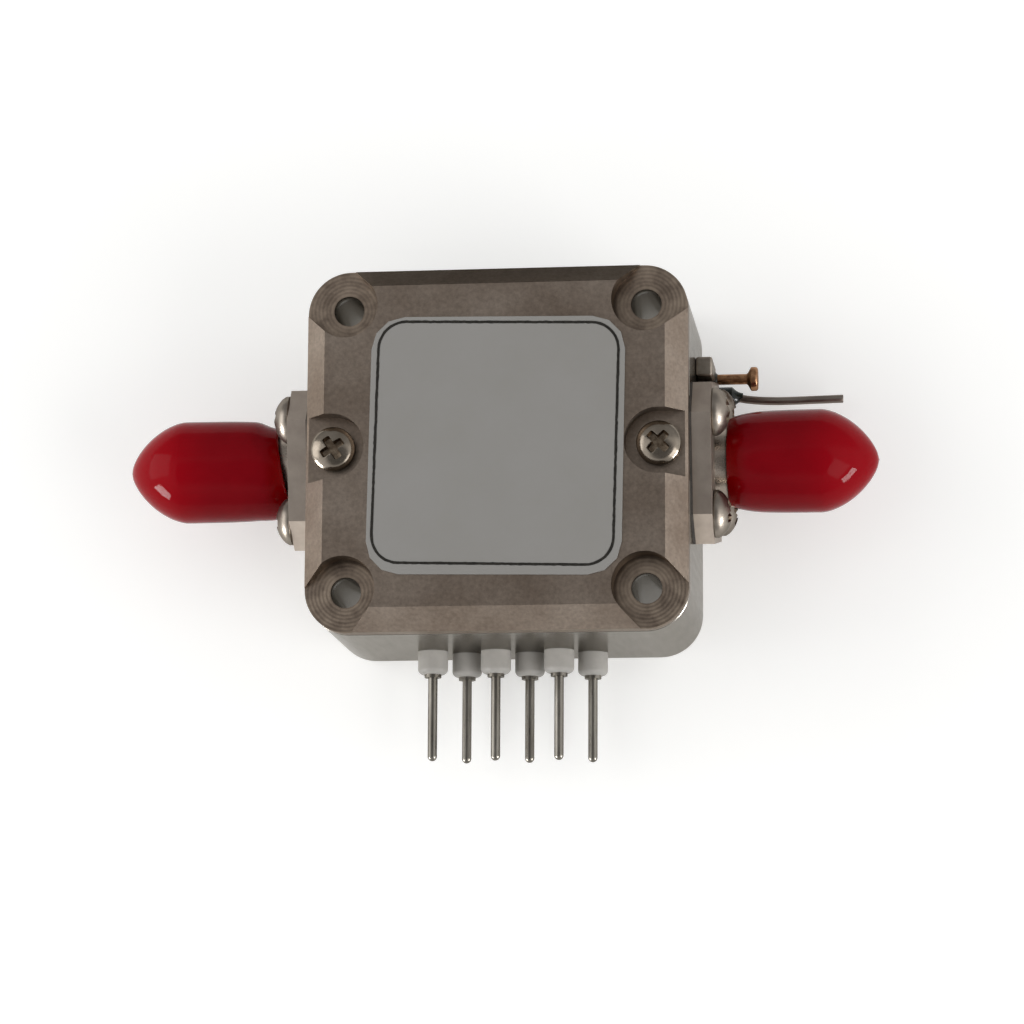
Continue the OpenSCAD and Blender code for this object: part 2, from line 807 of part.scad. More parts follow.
housing();
lid();
lid_screws();
label();
jack(-1);  // left_jack
jack(1);  // right_jack
dielectric(-1);  // left_dielectric
dielectric(1);  // right_dielectric
contact(-1);  // left_contact
contact(1);  // right_contact
flange_pad(-1);  // left_flange_pad
flange_pad(1);  // right_flange_pad
flange_screws(-1);  // left_flange_screws
flange_screws(1);  // right_flange_screws
cap(-1, left_cap_gap);  // left_cap
cap(1, right_cap_gap);  // right_cap
for (i = [0:pin_count - 1])
    pin_insulator(i);
for (i = [0:pin_count - 1])
    control_pin(i);
control_risers();
ground_block();
ground_turret();
supply_bead();
supply_lead();
supply_riser();
circuit_board();
board_screws();
attenuator_chip();
blocking_capacitors();
bypass_capacitors();
regulator();
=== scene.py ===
import math

import bmesh
import bpy
from mathutils import Matrix, Vector


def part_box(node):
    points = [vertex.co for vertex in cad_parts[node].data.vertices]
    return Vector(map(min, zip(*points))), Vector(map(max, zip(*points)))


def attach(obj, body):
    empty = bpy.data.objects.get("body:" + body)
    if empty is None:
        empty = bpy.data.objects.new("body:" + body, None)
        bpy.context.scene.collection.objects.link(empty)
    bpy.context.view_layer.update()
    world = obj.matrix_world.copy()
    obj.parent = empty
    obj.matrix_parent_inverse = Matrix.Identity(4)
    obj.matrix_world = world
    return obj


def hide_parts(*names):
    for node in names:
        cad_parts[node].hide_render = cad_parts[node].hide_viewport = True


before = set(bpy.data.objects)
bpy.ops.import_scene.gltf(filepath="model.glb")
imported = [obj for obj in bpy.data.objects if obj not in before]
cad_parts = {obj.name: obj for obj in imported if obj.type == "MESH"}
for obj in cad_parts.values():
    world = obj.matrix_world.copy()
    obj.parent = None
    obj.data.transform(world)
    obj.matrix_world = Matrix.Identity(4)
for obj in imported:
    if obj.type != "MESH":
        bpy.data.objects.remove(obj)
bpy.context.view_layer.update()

MM = 0.001
# Small overlaps that keep two cuts from sharing a face
SLIVER = 0.01 * MM
HAIR = 0.001 * MM

# Places taken from the solids
lid_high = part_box("lid")[1]
HALF_X, HALF_Y, TOP_Z = lid_high
SEAT_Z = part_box("housing")[1].z
FLANGE_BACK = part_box("right_flange_pad")[1].x
JACK_Z = sum(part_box("right_dielectric"), Vector()).z / 2
BLOCK_LOW, BLOCK_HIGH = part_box("ground_block")
TURRET_LOW, TURRET_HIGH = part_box("ground_turret")
BEAD_LOW, BEAD_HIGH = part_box("supply_bead")

# Lid
CORNER_R = 3.4 * MM
CHAMFER_W = 1.65 * MM
CHAMFER_D = 1.9 * MM
EDGE_BREAK = 0.15 * MM
HOLE_X, HOLE_Y = 11.75 * MM, 11.25 * MM
HOLE_R = 1.2 * MM
POCKET_W = 5.15 * MM
POCKET_DEPTH = 2.05 * MM
RING_GAP = 0.3 * MM
SCALLOP_W = 5.2 * MM
SCALLOP_DEPTH = 1.65 * MM
LID_SCREW_X = 12.75 * MM
LID_SCREW_HOLE_R = 1.1 * MM
REGISTER_INSET = 2.7 * MM
REGISTER_T = 0.6 * MM
POST_R = 3.0 * MM
BOSS_R = 2.6 * MM

# Breaks of the sharp edges
LID_BREAK = 0.09 * MM
SCREW_BREAK = 0.03 * MM
LABEL_BREAK = 0.03 * MM
FLANGE_BREAK = 0.1 * MM
BLOCK_BREAK = 0.22 * MM
TURRET_BREAK = 0.02 * MM
LEAD_BREAK = 0.03 * MM

# Screws: head diameter, head height, radius of the head's dome, shank diameter and shank length
LID_SCREW = (3.45 * MM, 1.25 * MM, 3.3 * MM, 2.0 * MM, 4.25 * MM)
FLANGE_SCREW = (3.8 * MM, 1.4 * MM, 2.35 * MM, 2.0 * MM, 3.9 * MM)
HEAD_EDGE = 0.08 * MM
DOME_STEPS = 8
# Cross recess: length, width and corner as shares of the head's diameter, depth as a share of its height
RECESS_LEN, RECESS_W, RECESS_CORNER, RECESS_DEPTH = 0.7, 0.23, 0.05, 0.62
RECESS_TAPER = (0.72, 0.7, 1)
# Where each screw stopped turning, in degrees
LID_SCREW_STOPS = (34, 47)
FLANGE_SCREW_STOPS = (12, 58, 81, 33, 70, 5, 41, 22)

# Label and the printed line round it
LABEL_SIZE = (19.9 * MM, 20.4 * MM, 0.1 * MM)
LABEL_CORNER = 2.6 * MM
LABEL_PLACE = (0.2 * MM, -0.15 * MM)
LABEL_TURN = math.radians(-1)
BORDER_SIZE = (19.03 * MM, 19.32 * MM)
BORDER_SHIFT = (-0.04 * MM, 0.19 * MM)
BORDER_TURN = math.radians(-0.5)
BORDER_CORNER = 2.25 * MM
BORDER_LINE = 0.21 * MM
BORDER_WOBBLE = 0.03 * MM
INK_T = 0.012 * MM

# Jacks
FLANGE = 12.7 * MM
FLANGE_T = 1.5 * MM
FLANGE_CLIP = 2.39 * MM
FLANGE_TURN = math.radians(11.5)
FLANGE_PITCH = 8.0 * MM
FLANGE_HOLE_R = 1.1 * MM
JACK_LEN = 9.5 * MM
NECK_R = 2.8 * MM
NECK_LEN = 1.6 * MM
BORE_R = 2.07 * MM
MOUTH_R = 2.3 * MM
MOUTH_DEPTH = 1.9 * MM
THREAD_R = 3.15 * MM
THREAD_ROOT_R = 2.76 * MM
THREAD_PITCH = 25.4 / 36 * MM
THREAD_TURNS = 9
THREAD_LEAD = 0.55 * MM

# Dust caps
CAP_R = 4.1 * MM
CAP_RIM_R = 3.5 * MM
CAP_BORE_R = 3.19 * MM
CAP_BORE_LEN = 8.9 * MM
CAP_TIP_WALL = 1.0 * MM
RIM_LEN = 0.8 * MM
SWELL_LEN = 1.3 * MM
NOSE_LEN = 4.6 * MM
NOSE_SHOULDER = 1.65
NOSE_POINT = 0.655
MOUTH_GIVE = 2.4 * MM
# How each cap sits: tilt of its mouth, length, and shift of its mouth outwards from the solid's
LEFT_CAP = (math.radians(-9.5), 12.75 * MM, -0.05 * MM)
RIGHT_CAP = (0, 11.9 * MM, 0.2 * MM)
# Distances from the middle of the part between which the red clears to the nose and deepens to the mouth
NOSE_CLEARS = (22.5 * MM, 28 * MM)
MOUTH_DEEPENS = (19.4 * MM, 18.2 * MM)

# Terminals
TURRET_SHIFT = 0.25 * MM
TURRET_SHANK_R = 0.42 * MM
TURRET_HEAD_LEN = 0.9 * MM
FLUX_WOBBLE = 0.035 * MM
BEAD_CONE = 0.85 * MM
BEAD_WIRE_R = 0.35 * MM
LEAD_STEPS = 18
LEAD_SAG = 0.12 * MM
LEAD_RISE = 0.012 * MM

# Studio
FLOOR_SIZE = 2.4
FLOOR_LIFT = 0.35
FLAG_PLACE = (0, 25 * MM, 12 * MM)
FLAG_SIZE = (28 * MM, 8 * MM, 1)
TOWARDS_CAMERA = (0.12, -0.2, 0.97)
# Each lamp: name, place, width, height and power. A window draws its highlight and lights nothing else.
LAMPS = (("left_soft_box", (-0.62, 0.1, 0.28), 0.5, 0.5, 1.4),
         ("right_soft_box", (0.55, -0.3, 0.4), 0.4, 0.4, 1.2),
         ("left_window", (-0.45, -0.3, 0.07), 0.24, 0.16, 4),
         ("right_window", (0.46, -0.25, 0.06), 0.22, 0.1, 2.2))
LAMP_AIM = Vector((0, 0, 0.01))
CAMERA_PLACE = (37.154 * MM, -60.232 * MM, 304.293 * MM)
CAMERA_TURN = [math.radians(angle) for angle in (10.747, 7.018, 0.293)]
CAMERA_LENS = 134.27
CAMERA_SENSOR = 36


def linear(hex_code):
    """Turns an sRGB hex colour into the linear colour that the shaders take."""
    channels = [int(hex_code[i:i + 2], 16) / 255 for i in (1, 3, 5)]
    return [c / 12.92 if c <= 0.04045 else ((c + 0.055) / 1.055) ** 2.4 for c in channels] + [1]


def add_node(tree, kind, settings=None, values=None, links=None):
    """Adds one node: its settings, the values of its own sockets and the outputs that feed it."""
    node = tree.nodes.new(kind)
    for name, value in (settings or {}).items():
        setattr(node, name, value)
    for socket, value in (values or {}).items():
        node.inputs[socket].default_value = value
    for socket, output in (links or {}).items():
        tree.links.new(output, node.inputs[socket])
    return node


def start_finish(name, values):
    """Starts a finish with the shader values that are the same all over it."""
    finish = bpy.data.materials.new(name)
    finish.use_nodes = True
    tree = finish.node_tree
    shader = tree.nodes["Principled BSDF"]
    for socket, value in values.items():
        shader.inputs[socket].default_value = value
    place = add_node(tree, "ShaderNodeTexCoord").outputs["Object"]
    return finish, tree, shader, place


def mottle(tree, place, shades, patch, stretch=(1, 1, 1), contrast=0.16):
    """Two shades of one colour in soft patches of a given size."""
    drawn = add_node(tree, "ShaderNodeMapping", values={"Scale": stretch}, links={"Vector": place})
    noise = add_node(tree, "ShaderNodeTexNoise", values={"Scale": 1 / patch, "Detail": 5, "Roughness": 0.6},
                     links={"Vector": drawn.outputs[0]})
    spread = add_node(tree, "ShaderNodeMapRange",
                      values={"From Min": 0.5 - contrast, "From Max": 0.5 + contrast},
                      links={"Value": noise.outputs[0]})
    return add_node(tree, "ShaderNodeMix", {"data_type": "RGBA"},
                    {6: linear(shades[0]), 7: linear(shades[1])}, {0: spread.outputs[0]})


def grain(tree, shader, place, size, depth, roughness, stretch=(1, 1, 1)):
    """Fine grain of a given size and depth that breaks up the gloss between two roughnesses."""
    drawn = add_node(tree, "ShaderNodeMapping", values={"Scale": stretch}, links={"Vector": place})
    noise = add_node(tree, "ShaderNodeTexNoise", values={"Scale": 1 / size, "Detail": 3},
                     links={"Vector": drawn.outputs[0]})
    gloss = add_node(tree, "ShaderNodeMapRange",
                     values={"From Min": 0.3, "From Max": 0.7,
                             "To Min": roughness[0], "To Max": roughness[1]},
                     links={"Value": noise.outputs[0]})
    bump = add_node(tree, "ShaderNodeBump", values={"Distance": depth}, links={"Height": noise.outputs[0]})
    tree.links.new(gloss.outputs[0], shader.inputs["Roughness"])
    tree.links.new(bump.outputs[0], shader.inputs["Normal"])


def plain_finish(name, shades, values, patch, size, depth, roughness, stretch=(1, 1, 1)):
    """A finish that has soft patches of two shades and one grain."""
    finish, tree, shader, place = start_finish(name, values)
    colour = mottle(tree, place, shades, patch, stretch)
    tree.links.new(colour.outputs[2], shader.inputs["Base Color"])
    grain(tree, shader, place, size, depth, roughness, stretch)
    return finish


# Metal, with its glancing reflections toned down to suit the dark exposure of the photograph
METAL = {"Metallic": 1, "Specular Tint": linear("#CFCDC9")}


def nickel_milled():
    """Nickel plate over milled aluminium: satin, warm grey, with soft stains, fine specks and a cutter grain.

    The real grain is a few hundredths of a millimetre, and it is drawn at a tenth so that it shows.
    """
    finish, tree, shader, place = start_finish("nickel_plate_on_milled_aluminium", METAL)
    stains = mottle(tree, place, ("#817367", "#988B7F"), 6 * MM)
    specks = mottle(tree, place, ("#D6D6D6", "#FFFFFF"), 0.3 * MM, contrast=0.25)
    colour = add_node(tree, "ShaderNodeMix", {"data_type": "RGBA", "blend_type": "MULTIPLY"}, {0: 1},
                      {6: stains.outputs[2], 7: specks.outputs[2]})
    tree.links.new(colour.outputs[2], shader.inputs["Base Color"])
    grain(tree, shader, place, 0.11 * MM, 0.001 * MM, (0.33, 0.46))
    return finish


def about_hole(tree, place):
    """Coordinates measured from the nearest corner hole, the same at all four corners."""
    folded = add_node(tree, "ShaderNodeVectorMath", {"operation": "ABSOLUTE"}, links={0: place})
    centred = add_node(tree, "ShaderNodeMapping",
                       values={"Location": (-HOLE_X, -HOLE_Y, 0), "Scale": (1, 1, 0)},
                       links={"Vector": folded.outputs[0]})
    return centred.outputs[0]


def nickel_ringed():
    """The same plate in a corner pocket: fine rings from the end mill, and painted shade along the inner
    wall.
    """
    finish, tree, shader, place = start_finish("nickel_plate_on_end_milled_aluminium", METAL)
    spot = about_hole(tree, place)
    rings = add_node(tree, "ShaderNodeTexWave", {"wave_type": "RINGS", "rings_direction": "Z"},
                     {"Scale": math.pi / 10 / RING_GAP, "Distortion": 1.2, "Detail": 2, "Detail Scale": 0.4},
                     {"Vector": spot})
    colour = mottle(tree, place, ("#7C6E62", "#A59585"), 1.2 * MM)
    shaded = add_node(tree, "ShaderNodeMix", {"data_type": "RGBA", "blend_type": "MULTIPLY"},
                      {0: 0.18}, {6: colour.outputs[2], 7: rings.outputs[0]})
    # Painted shade: a dark crescent (#463C33) at the foot of each pocket's inner wall, where the recess is in
    # shade
    reach = add_node(tree, "ShaderNodeVectorMath", {"operation": "LENGTH"}, links={0: spot})
    at_wall = add_node(tree, "ShaderNodeMapRange", {"interpolation_type": "SMOOTHSTEP"},
                       {"From Min": POCKET_W * 0.45, "From Max": POCKET_W * 0.49},
                       {"Value": reach.outputs["Value"]})
    inward = add_node(tree, "ShaderNodeVectorMath", {"operation": "DOT_PRODUCT"},
                      {1: (-0.707, -0.707, 0)}, {0: spot})
    inner = add_node(tree, "ShaderNodeMapRange",
                     values={"From Min": -0.6 * MM, "From Max": 1.2 * MM, "To Max": 0.75},
                     links={"Value": inward.outputs["Value"]})
    shade_crescent = add_node(tree, "ShaderNodeMath", {"operation": "MULTIPLY"},
                        links={0: at_wall.outputs[0], 1: inner.outputs[0]})
    painted_wall_shade = add_node(tree, "ShaderNodeMix", {"data_type": "RGBA"}, {7: linear("#463C33")},
                      {0: shade_crescent.outputs[0], 6: shaded.outputs[2]})
    tree.links.new(painted_wall_shade.outputs[2], shader.inputs["Base Color"])
    gloss = add_node(tree, "ShaderNodeMapRange", values={"To Min": 0.3, "To Max": 0.42},
                     links={"Value": rings.outputs["Fac"]})
    bump = add_node(tree, "ShaderNodeBump", values={"Distance": 0.0015 * MM},
                    links={"Height": rings.outputs["Fac"]})
    tree.links.new(gloss.outputs[0], shader.inputs["Roughness"])
    tree.links.new(bump.outputs[0], shader.inputs["Normal"])
    return finish


def nickel_fly_cut():
    """The same plate on the housing walls: smoother, with soft mirroring, and painted pale inside the corner
    holes as painted light.
    """
    finish, tree, shader, place = start_finish("nickel_plate_on_fly_cut_aluminium", METAL)
    # Painted light: the walls of the corner holes take a pale grey (#C6C2BC) that stands for light reaching
    # down into them
    reach = add_node(tree, "ShaderNodeVectorMath", {"operation": "LENGTH"},
                     links={0: about_hole(tree, place)})
    painted_hole_light = add_node(tree, "ShaderNodeMapRange",
                      values={"From Min": HOLE_R * 1.1, "From Max": HOLE_R * 1.05},
                      links={"Value": reach.outputs["Value"]})
    wall = mottle(tree, place, ("#86817A", "#8E8982"), 5 * MM)
    colour = add_node(tree, "ShaderNodeMix", {"data_type": "RGBA"}, {7: linear("#C6C2BC")},
                      {0: painted_hole_light.outputs[0], 6: wall.outputs[2]})
    tree.links.new(colour.outputs[2], shader.inputs["Base Color"])
    grain(tree, shader, place, 0.5 * MM, 0.0002 * MM, (0.2, 0.25), (1, 1, 0.15))
    return finish


nickel_milled_lid = nickel_milled()
nickel_ringed_pocket = nickel_ringed()
nickel_walls = nickel_fly_cut()
# Nickel plate on turned brass: the bright barrel of a jack, with faint marks of handling.
nickel_jack = plain_finish(
    "nickel_plate_on_turned_brass", ("#8E8379", "#9C9288"), METAL,
    patch=1.6 * MM, size=0.1 * MM, depth=0.0005 * MM, roughness=(0.24, 0.36))
# The milled edges of the flange have the same plate, painted paler than the barrel as a lit copy of its
# finish, and more even.
nickel_flange_painted_lighter = plain_finish(
    "nickel_plate_on_milled_brass", ("#AEA196", "#BDB1A5"), METAL,
    patch=1.6 * MM, size=0.1 * MM, depth=0.0004 * MM, roughness=(0.28, 0.38))
# The terminal block has the same plate over saw marks: patchy and dull.
nickel_block = plain_finish(
    "nickel_plate_on_sawn_brass", ("#8A8177", "#A0978C"), METAL,
    patch=0.7 * MM, size=0.12 * MM, depth=0.001 * MM, roughness=(0.3, 0.42))
# Bright nickel on cold headed steel: nearly a mirror, slightly yellow.
nickel_screw = plain_finish(
    "bright_nickel_on_headed_steel", ("#7A7166", "#8A8176"), METAL,
    patch=0.9 * MM, size=0.12 * MM, depth=0.0006 * MM, roughness=(0.12, 0.24))
# The punched recess of a screw holds old oil, so it is browner and duller than the head.
oiled_recess = plain_finish(
    "oil_stained_nickel_in_a_punched_recess", ("#5A4C3E", "#8A7C6C"), METAL,
    patch=0.35 * MM, size=0.1 * MM, depth=0.002 * MM, roughness=(0.22, 0.4))
# The flange screws have the same plate, duller from age.
nickel_dull_screw = plain_finish(
    "dulled_nickel_on_headed_steel", ("#7D756C", "#8C847B"), METAL,
    patch=0.9 * MM, size=0.12 * MM, depth=0.001 * MM, roughness=(0.3, 0.42))
# Fibre pad under the flange: a dull dark line between the two metals.
fibre_pad = plain_finish(
    "pressed_fibre_pad", ("#3A3632", "#4A4540"), {"Metallic": 0},
    patch=0.8 * MM, size=0.08 * MM, depth=0.01 * MM, roughness=(0.6, 0.75))
# Turned PTFE: white, waxy and slightly translucent, with a soft grey cast.
ptfe_turned = plain_finish(
    "turned_ptfe", ("#B0ADA8", "#B9B6B1"),
    {"IOR": 1.35, "Specular IOR Level": 0.2, "Subsurface Weight": 0.25,
     "Subsurface Radius": (0.8 * MM, 0.8 * MM, 0.7 * MM)},
    patch=1.1 * MM, size=0.2 * MM, depth=0.004 * MM, roughness=(0.38, 0.5))
# Tinned copper wire, drawn: grey, with streaks along the pin.
tinned_pin = plain_finish(
    "drawn_tinned_copper", ("#67635C", "#837F78"), METAL,
    patch=0.7 * MM, size=0.16 * MM, depth=0.0012 * MM, roughness=(0.25, 0.4), stretch=(1, 0.12, 1))
# The supply lead is the same wire, browned by the flux.
browned_lead = plain_finish(
    "flux_browned_tinned_copper", ("#6A5F59", "#8B827A"), METAL,
    patch=0.8 * MM, size=0.15 * MM, depth=0.0015 * MM, roughness=(0.3, 0.45), stretch=(0.15, 1, 1))
# Bare brass that has tarnished to copper brown, darkest where fingers and flux have been.
tarnished_brass = plain_finish(
    "tarnished_turned_brass", ("#835F46", "#B98E6B"), METAL,
    patch=0.6 * MM, size=0.1 * MM, depth=0.0012 * MM, roughness=(0.25, 0.42))
# Sealing epoxy round the supply lead: dark green-black and glossy.
sealing_epoxy = plain_finish(
    "cured_sealing_epoxy", ("#121714", "#222B26"), {"IOR": 1.55, "Specular IOR Level": 0.2},
    patch=0.5 * MM, size=0.3 * MM, depth=0.01 * MM, roughness=(0.18, 0.3))
# Flux residue left at the turret: nearly black, with a wet gloss.
flux_residue = plain_finish(
    "dried_flux_residue", ("#16130E", "#2E2A1C"), {"IOR": 1.5, "Specular IOR Level": 0.2},
    patch=0.25 * MM, size=0.12 * MM, depth=0.02 * MM, roughness=(0.2, 0.45))
# Label film: satin off-white polyester that yellows slightly in patches.
label_film = plain_finish(
    "printed_polyester_film", ("#8D8B87", "#908E8B"), {"IOR": 1.5, "Specular IOR Level": 0.2},
    patch=6 * MM, size=0.15 * MM, depth=0.002 * MM, roughness=(0.4, 0.5))
# Thermal transfer ink of the printed line: black, slightly worn so that the film greys it.
label_ink = plain_finish(
    "thermal_transfer_ink", ("#15130F", "#2B2823"), {"IOR": 1.5, "Specular IOR Level": 0.25},
    patch=0.3 * MM, size=0.1 * MM, depth=0.002 * MM, roughness=(0.45, 0.55))
# Gold flash on the centre contact: a soft yellow glint deep in the jack.
gold_contact = plain_finish(
    "gold_flash_on_turned_brass", ("#C59A4A", "#D6AE60"), METAL,
    patch=0.5 * MM, size=0.1 * MM, depth=0.002 * MM, roughness=(0.18, 0.28))
# Solder mask on glass laminate: dark green and satin, a little uneven over the weave.
solder_mask = plain_finish(
    "solder_mask_on_glass_laminate", ("#123821", "#1C4A2D"), {"IOR": 1.5},
    patch=0.6 * MM, size=0.25 * MM, depth=0.006 * MM, roughness=(0.3, 0.42))
# Black moulding compound of the chip and regulator: dull and finely pitted.
moulding_compound = plain_finish(
    "moulded_black_epoxy", ("#191918", "#242423"), {"IOR": 1.55},
    patch=0.4 * MM, size=0.08 * MM, depth=0.006 * MM, roughness=(0.5, 0.62))
# Fired ceramic of the capacitors: tan and chalky.
fired_ceramic = plain_finish(
    "fired_ceramic", ("#7D6246", "#94765A"), {"IOR": 1.6},
    patch=0.3 * MM, size=0.08 * MM, depth=0.004 * MM, roughness=(0.4, 0.52))


def dipped_vinyl():
    """Dipped red vinyl: glossy, duller over the jack, clearer red in the solid nose and at the mouth."""
    finish, tree, shader, place = start_finish(
        "dip_moulded_red_vinyl",
        {"IOR": 1.5, "Specular IOR Level": 0.05, "Subsurface Weight": 0.05,
         "Subsurface Radius": (1.2 * MM, 0.2 * MM, 0.2 * MM)})
    axes = add_node(tree, "ShaderNodeSeparateXYZ", links={0: place})
    along = add_node(tree, "ShaderNodeMath", {"operation": "ABSOLUTE"}, links={0: axes.outputs[0]})
    nose = add_node(tree, "ShaderNodeMapRange", {"interpolation_type": "SMOOTHSTEP"},
                    {"From Min": NOSE_CLEARS[0], "From Max": NOSE_CLEARS[1]}, {"Value": along.outputs[0]})
    mouth = add_node(tree, "ShaderNodeMapRange", {"interpolation_type": "SMOOTHSTEP"},
                     {"From Min": MOUTH_DEEPENS[0], "From Max": MOUTH_DEEPENS[1]},
                     {"Value": along.outputs[0]})
    body = mottle(tree, place, ("#790812", "#7E0A14"), 2.2 * MM)
    clear = add_node(tree, "ShaderNodeMix", {"data_type": "RGBA"}, {7: linear("#950714")},
                     {0: nose.outputs[0], 6: body.outputs[2]})
    lipped = add_node(tree, "ShaderNodeMix", {"data_type": "RGBA"}, {7: linear("#720104")},
                      {0: mouth.outputs[0], 6: clear.outputs[2]})
    tree.links.new(lipped.outputs[2], shader.inputs["Base Color"])
    grain(tree, shader, place, 2.4 * MM, 0.03 * MM, (0.05, 0.08))
    return finish


red_vinyl = dipped_vinyl()


def activate(piece):
    """Selects one piece alone and makes it the active one."""
    bpy.ops.object.select_all(action="DESELECT")
    piece.select_set(True)
    bpy.context.view_layer.objects.active = piece


def settle(piece, place):
    """Moves a piece by a matrix and puts the move into its mesh."""
    activate(piece)
    piece.matrix_world = place
    bpy.ops.object.transform_apply(location=True, rotation=True, scale=True)
    return piece


def add_block(name, size, centre, finish):
    """Adds a box at its size and place, with both in its mesh."""
    bpy.ops.object.select_all(action="DESELECT")
    bpy.ops.mesh.primitive_cube_add(size=1, location=centre, scale=size)
    bpy.ops.object.transform_apply(location=True, rotation=True, scale=True)
    block = bpy.context.object
    block.name = name
    block.data.materials.append(finish)
    return block


def add_rod(name, radius, low, high, finish, steps=48):
    """Adds an upright rod between two points, one above the other."""
    bpy.ops.object.select_all(action="DESELECT")
    low, high = Vector(low), Vector(high)
    bpy.ops.mesh.primitive_cylinder_add(
        vertices=steps, radius=radius, depth=(high - low).length, location=(low + high) / 2)
    bpy.ops.object.transform_apply(location=True, rotation=True, scale=True)
    rod = bpy.context.object
    rod.name = name
    rod.data.materials.append(finish)
    return rod


def pick(piece, kind, test):
    """Selects the points, edges or faces of a piece in edit mode that pass a test."""
    bpy.ops.mesh.select_mode(type=kind)
    bpy.ops.mesh.select_all(action="DESELECT")
    mesh = bmesh.from_edit_mesh(piece.data)
    parts = {"VERT": mesh.verts, "EDGE": mesh.edges, "FACE": mesh.faces}[kind]
    for part in parts:
        if test(part):
            part.select_set(True)
    mesh.select_flush_mode()
    bmesh.update_edit_mesh(piece.data)


def upright(edge):
    """True for an edge that stands along Z."""
    start, end = edge.verts
    return (start.co - end.co).xy.length < 1e-7


def apply_modifier(piece, kind, **settings):
    """Adds one modifier to a piece and applies it."""
    activate(piece)
    modifier = piece.modifiers.new(kind, kind)
    for name, value in settings.items():
        setattr(modifier, name, value)
    bpy.ops.object.modifier_apply(modifier=modifier.name)


def carve(piece, cutter):
    """Cuts one piece out of another. The cut faces keep the cutter's finish."""
    apply_modifier(piece, "BOOLEAN", operation="DIFFERENCE", solver="EXACT",
                   material_mode="TRANSFER", object=cutter)
    bpy.data.objects.remove(cutter)


def weld(piece, other):
    """Makes two overlapping pieces one solid."""
    apply_modifier(piece, "BOOLEAN", operation="UNION", solver="EXACT",
                   material_mode="TRANSFER", object=other)
    bpy.data.objects.remove(other)


def soften(piece, width, segments=2, angle=30):
    """Rounds the sharp edges of a piece and keeps its flat faces flat to the light."""
    if width:
        apply_modifier(piece, "BEVEL", width=width, segments=segments, limit_method="ANGLE",
                       angle_limit=math.radians(angle))
    activate(piece)
    bpy.ops.object.shade_smooth_by_angle(angle=math.radians(angle + 5))
    apply_modifier(piece, "WEIGHTED_NORMAL", keep_sharp=True)


def turn(name, profile, finish, steps=64, closed=False):
    """Turns a half section about Z. The section is drawn as (radius, height) points."""
    bpy.ops.object.select_all(action="DESELECT")
    bpy.ops.mesh.primitive_plane_add(size=MM)
    piece = bpy.context.object
    piece.name = name
    bpy.ops.object.mode_set(mode="EDIT")
    bpy.ops.mesh.select_mode(type="VERT")
    bpy.ops.mesh.select_all(action="SELECT")
    bpy.ops.mesh.merge(type="CENTER")
    here = Vector()
    for number, (radius, height) in enumerate(profile + profile[:1] * closed):
        step = Vector((radius, 0, height)) - here
        if number:
            bpy.ops.mesh.extrude_region_move(TRANSFORM_OT_translate={"value": step})
        else:
            bpy.ops.transform.translate(value=step)
        here += step
    bpy.ops.mesh.select_all(action="SELECT")
    bpy.ops.mesh.spin(steps=steps, angle=2 * math.pi, center=(0, 0, 0), axis=(0, 0, 1))
    bpy.ops.mesh.select_all(action="SELECT")
    bpy.ops.mesh.remove_doubles(threshold=1e-6)
    bpy.ops.mesh.normals_make_consistent(inside=False)
    bpy.ops.object.mode_set(mode="OBJECT")
    piece.data.materials.append(finish)
    return piece


def copy_to(piece, name, place):
    """Copies a piece with its own mesh and moves the copy by a matrix."""
    activate(piece)
    bpy.ops.object.duplicate(linked=False)
    twin = bpy.context.object
    twin.name = name
    return settle(twin, place)


def on_wall(side, out):
    """Frame of a jack: Z points out of the right (1) or left (-1) wall, from a distance out of the middle."""
    axes = Matrix(((0, 0, side), (side, 0, 0), (0, 1, 0))).to_4x4()
    return Matrix.Translation((side * out, 0, JACK_Z)) @ axes


def hand_over(piece, nodes, body="module"):
    """Hides the solids that a finished piece stands for and hangs the piece on the body that it rides on."""
    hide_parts(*nodes)
    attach(piece, body)


def slot_cutter(name, width, reach, floor_z, centre, turn_angle, finish):
    """Cutter with a half-round inner end, for a pocket that runs out through the edge of the lid."""
    depth = TOP_Z - floor_z + MM
    length = reach + width / 2
    cutter = add_block(name, (length, width, depth),
                       ((reach - width / 2) / 2, 0, floor_z + depth / 2), finish)
    bpy.ops.object.mode_set(mode="EDIT")
    pick(cutter, "EDGE", lambda e: upright(e) and e.verts[0].co.x < 0)
    bpy.ops.mesh.bevel(offset=width / 2 - HAIR, segments=20, affect="EDGES")
    bpy.ops.object.mode_set(mode="OBJECT")
    place = Matrix.Translation((centre[0], centre[1], 0)) @ Matrix.Rotation(turn_angle, 4, "Z")
    return settle(cutter, place)


